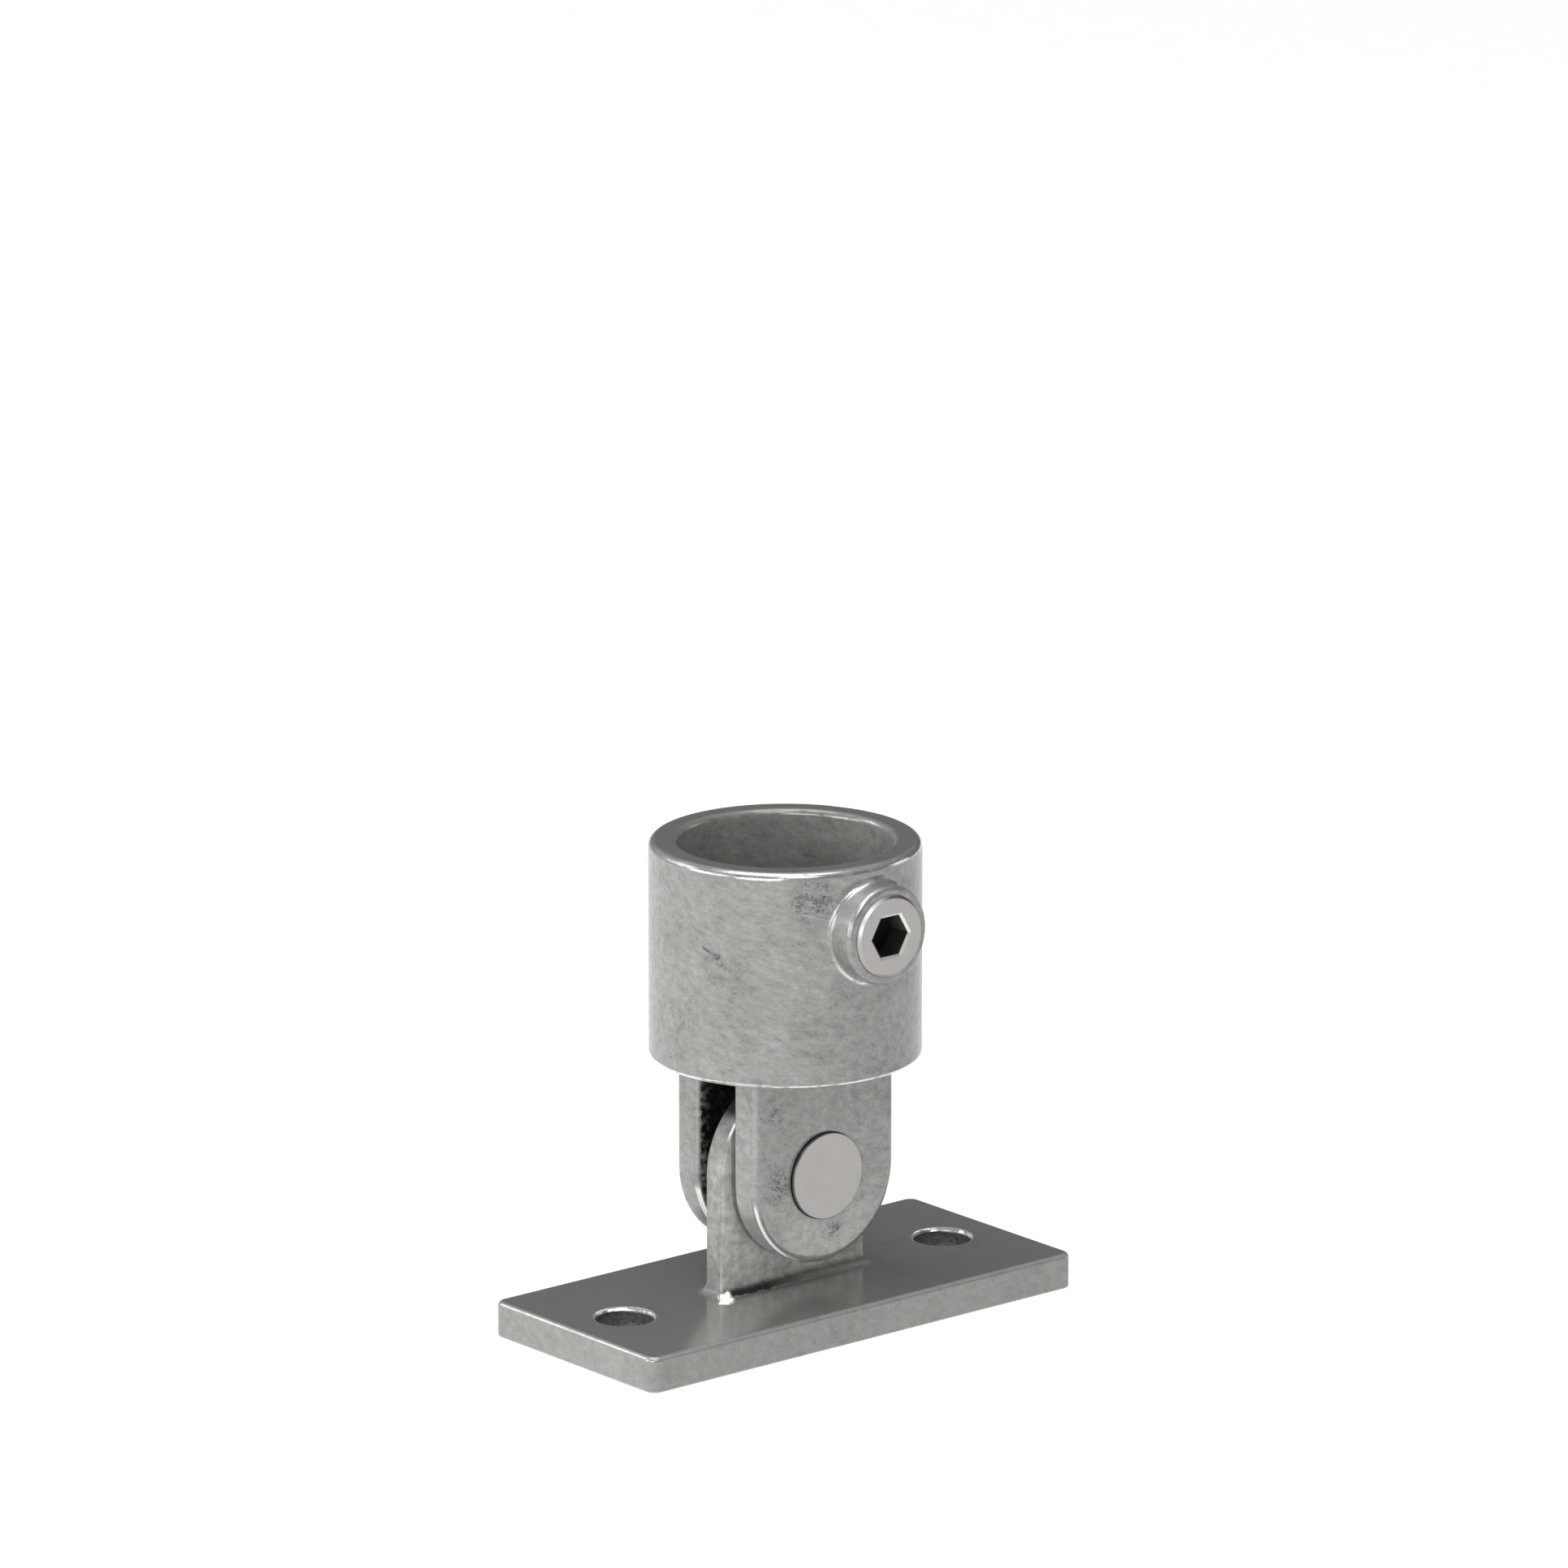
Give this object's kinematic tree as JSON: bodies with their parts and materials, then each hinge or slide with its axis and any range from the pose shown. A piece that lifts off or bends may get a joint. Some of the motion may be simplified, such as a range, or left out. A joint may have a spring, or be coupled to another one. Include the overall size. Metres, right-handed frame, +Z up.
{
  "type": "tube clamp base flange",
  "caption": "Swivelling base flange: a bolted plate whose upright lug carries a forked socket on a hinge pin, with a set screw that grips the end of a round tube.",
  "frame": {"origin": "centre of the base plate's underside", "axes": "+Z up along the tube, +X along the base plate and its row of bolt holes, the hinge pin along Y, the set screw on the -Y side"},
  "size_m": [0.1116, 0.0608, 0.1001],
  "materials": {
    "galvanised_iron": "hot-dip galvanised, satin",
    "plain_steel": "fine turned"
  },
  "bodies": {
    "base": {"base_plate": "galvanised_iron"},
    "fork": {"fork_socket": "galvanised_iron", "hinge_pin": "plain_steel"},
    "screw": {"set_screw": "plain_steel"}
  },
  "joints": [
    {"name": "swivel", "type": "hinge", "parent": "base", "child": "fork", "pos_m": [0, 0, 0.0319], "axis": [0, 1, 0], "range_deg": [-82, 82]},
    {"name": "screw_travel", "type": "slide", "parent": "fork", "child": "screw", "axis": [0, 1, 0], "range_m": [-0.006, 0.003]}
  ]
}
